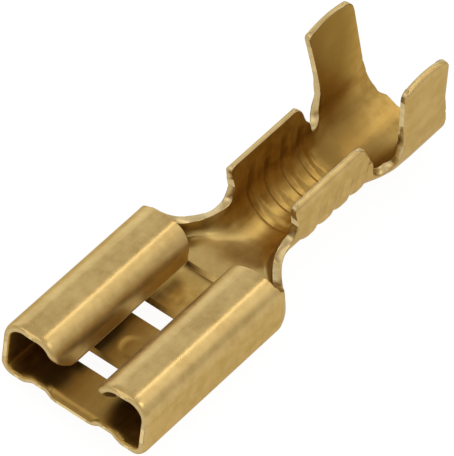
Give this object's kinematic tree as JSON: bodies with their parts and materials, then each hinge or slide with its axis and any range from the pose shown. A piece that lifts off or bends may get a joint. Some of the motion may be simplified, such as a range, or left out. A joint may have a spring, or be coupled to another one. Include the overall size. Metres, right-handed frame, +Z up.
{
  "type": "female spade terminal",
  "caption": "Uninsulated push-on female spade terminal: a curled tab socket with a necked tail, an open wire barrel and a taller open insulation barrel.",
  "frame": {"origin": "centre of the bounding box at its lowest level, under the insulation barrel", "axes": "+Y from the tab mouth towards the wire end, +Z up out of the open barrels, X across the two curls"},
  "size_m": [0.0078, 0.024, 0.0074],
  "materials": {
    "brass": "satin rolled brass strip with brighter bends and paler sheared edges"
  },
  "bodies": {
    "root": {"terminal_body": "brass"}
  },
  "joints": []
}
